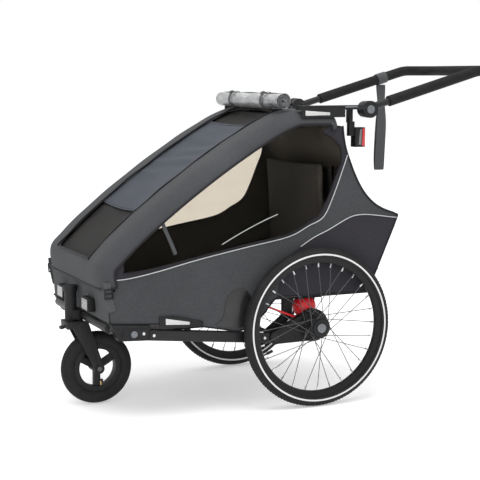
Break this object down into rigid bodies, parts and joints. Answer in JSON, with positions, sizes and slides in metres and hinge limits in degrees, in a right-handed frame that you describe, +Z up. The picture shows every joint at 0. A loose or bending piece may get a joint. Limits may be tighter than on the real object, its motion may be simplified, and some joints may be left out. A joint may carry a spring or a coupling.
{
  "type": "child bicycle trailer",
  "caption": "Folding child trailer with a cloth cabin, sprung rear wheels with spokes, a swivelling front wheel, roof rails and a push handle.",
  "frame": {"origin": "on the ground, at the middle of the bounding box of the trailer at rest", "axes": "-X towards the nose, +X towards the push handle, -Y to the left side, +Y to the right side, +Z up"},
  "size_m": [1.438, 0.678, 1.0282],
  "materials": {
    "frame_black": "satin",
    "moulding_black": "matte",
    "button_grey": "satin",
    "steel_bright": "satin",
    "suspension_red": "satin",
    "cloth_slate": "matte",
    "cloth_dark": "matte",
    "cloth_window": "matte",
    "cloth_shade": "matte",
    "mesh_black": "matte",
    "cloth_seat": "matte",
    "film_clear": "gloss",
    "webbing_black": "matte",
    "reflector_white": "gloss",
    "lamp_red": "gloss",
    "tyre_black": "matte",
    "foam_black": "matte"
  },
  "bodies": {
    "chassis": {"side_beam_left": "frame_black", "side_beam_right": "frame_black", "tow_socket_left": "moulding_black", "tow_socket_right": "moulding_black", "frame_bolts": "steel_bright", "nose_frame": "frame_black", "floor_tray": "moulding_black", "axle_beam": "frame_black", "suspension_posts": "moulding_black", "damper_left": "suspension_red", "damper_right": "suspension_red", "leaf_left": "suspension_red", "leaf_right": "suspension_red", "caster_mount": "moulding_black", "side_panel_left": "cloth_slate", "side_panel_right": "cloth_slate", "side_window_left": "cloth_window", "side_window_right": "cloth_window", "nose_panel": "cloth_slate", "rear_panel": "cloth_dark", "rear_flap": "cloth_dark", "seat_cushion": "cloth_seat", "harness_buckle": "moulding_black", "reflectors": "reflector_white"},
    "tow_button_left": {"socket_button_left": "button_grey"},
    "tow_button_right": {"socket_button_right": "button_grey"},
    "brake": {"brake_pedal": "moulding_black"},
    "swing_left": {"swing_arm_left": "moulding_black"},
    "swing_right": {"swing_arm_right": "moulding_black"},
    "wheel_left": {"tyre_left": "tyre_black", "rim_left": "frame_black", "spokes_left": "steel_bright", "hub_left": "moulding_black"},
    "wheel_right": {"tyre_right": "tyre_black", "rim_right": "frame_black", "spokes_right": "steel_bright", "hub_right": "moulding_black"},
    "wheel_release_left": {"axle_button_left": "button_grey"},
    "wheel_release_right": {"axle_button_right": "button_grey"},
    "caster": {"caster_fork": "moulding_black", "front_axle": "steel_bright"},
    "swivel_lock": {"lock_lever": "moulding_black"},
    "front_wheel": {"front_tyre": "tyre_black", "front_rim": "moulding_black"},
    "canopy": {"canopy_hoop": "frame_black", "front_cover": "cloth_slate", "sunshade": "cloth_shade", "front_mesh": "mesh_black", "rain_roll": "film_clear", "roll_straps": "webbing_black", "roof_rail_left": "moulding_black", "roof_rail_right": "moulding_black", "rear_light": "lamp_red"},
    "rear_frame": {"rear_hoop": "frame_black", "backrest": "cloth_seat"},
    "handle": {"handlebar": "frame_black", "grip": "foam_black"},
    "handle_release_left": {"handle_button_left": "button_grey"},
    "handle_release_right": {"handle_button_right": "button_grey"},
    "hand_strap": {"wrist_strap": "webbing_black"}
  },
  "joints": [
    {"name": "frame_fold", "type": "hinge", "parent": "chassis", "child": "canopy", "pos_m": [-0.64675, 0, 0.4], "axis": [0, 1, 0], "range_deg": [0, 30], "deforming": ["side_window_left", "side_window_right", "rear_flap"]},
    {"name": "rear_frame_fold", "type": "hinge", "parent": "chassis", "child": "rear_frame", "pos_m": [0.10325, 0, 0.4], "axis": [0, -1, 0], "range_deg": [0, 72]},
    {"name": "handle_angle", "type": "hinge", "parent": "canopy", "child": "handle", "pos_m": [0.19425, 0, 0.893], "axis": [0, -1, 0], "range_deg": [-25, 90]},
    {"name": "handle_release_left", "type": "slide", "parent": "canopy", "child": "handle_release_left", "axis": [0, 1, 0], "range_m": [0, 0.003], "stiffness_N_per_m": 600},
    {"name": "tow_release_left", "type": "slide", "parent": "chassis", "child": "tow_button_left", "axis": [0, 1, 0], "range_m": [0, 0.004], "stiffness_N_per_m": 600},
    {"name": "suspension_left", "type": "hinge", "parent": "chassis", "child": "swing_left", "pos_m": [-0.13175, 0, 0.214], "axis": [0, -1, 0], "range_deg": [-2, 10], "stiffness_Nm_per_rad": 1500, "deforming": ["damper_left", "leaf_left"]},
    {"name": "wheel_spin_left", "type": "hinge", "parent": "swing_left", "child": "wheel_left", "pos_m": [-0.00675, -0.31, 0.243], "axis": [0, 1, 0], "continuous": true},
    {"name": "wheel_release_left", "type": "slide", "parent": "wheel_left", "child": "wheel_release_left", "axis": [0, 1, 0], "range_m": [0, 0.003], "stiffness_N_per_m": 600},
    {"name": "handle_release_right", "type": "slide", "parent": "canopy", "child": "handle_release_right", "axis": [0, -1, 0], "range_m": [0, 0.003], "stiffness_N_per_m": 600},
    {"name": "tow_release_right", "type": "slide", "parent": "chassis", "child": "tow_button_right", "axis": [0, -1, 0], "range_m": [0, 0.004], "stiffness_N_per_m": 600},
    {"name": "suspension_right", "type": "hinge", "parent": "chassis", "child": "swing_right", "pos_m": [-0.13175, 0, 0.214], "axis": [0, -1, 0], "range_deg": [-2, 10], "stiffness_Nm_per_rad": 1500, "deforming": ["damper_right", "leaf_right"]},
    {"name": "wheel_spin_right", "type": "hinge", "parent": "swing_right", "child": "wheel_right", "pos_m": [-0.00675, 0.31, 0.243], "axis": [0, 1, 0], "continuous": true},
    {"name": "wheel_release_right", "type": "slide", "parent": "wheel_right", "child": "wheel_release_right", "axis": [0, -1, 0], "range_m": [0, 0.003], "stiffness_N_per_m": 600},
    {"name": "caster_swivel", "type": "hinge", "parent": "chassis", "child": "caster", "pos_m": [-0.68475, 0, 0.25], "axis": [0, 0, 1], "continuous": true},
    {"name": "swivel_lock_flip", "type": "hinge", "parent": "caster", "child": "swivel_lock", "pos_m": [-0.71105, 0, 0.244], "axis": [0, 1, 0], "range_deg": [0, 20]},
    {"name": "front_wheel_spin", "type": "hinge", "parent": "caster", "child": "front_wheel", "pos_m": [-0.60675, 0, 0.112], "axis": [0, 1, 0], "continuous": true},
    {"name": "brake_press", "type": "hinge", "parent": "chassis", "child": "brake", "pos_m": [0.05325, 0, 0.302], "axis": [0, 1, 0], "range_deg": [0, 20]},
    {"name": "strap_swing", "type": "hinge", "parent": "handle", "child": "hand_strap", "pos_m": [0.51627, 0.23, 0.98534], "axis": [0.9613, 0, 0.2756], "range_deg": [-60, 60]}
  ],
  "couplings": [
    {"joint": "rear_frame_fold", "follows": "frame_fold", "ratio": 2.4}
  ]
}
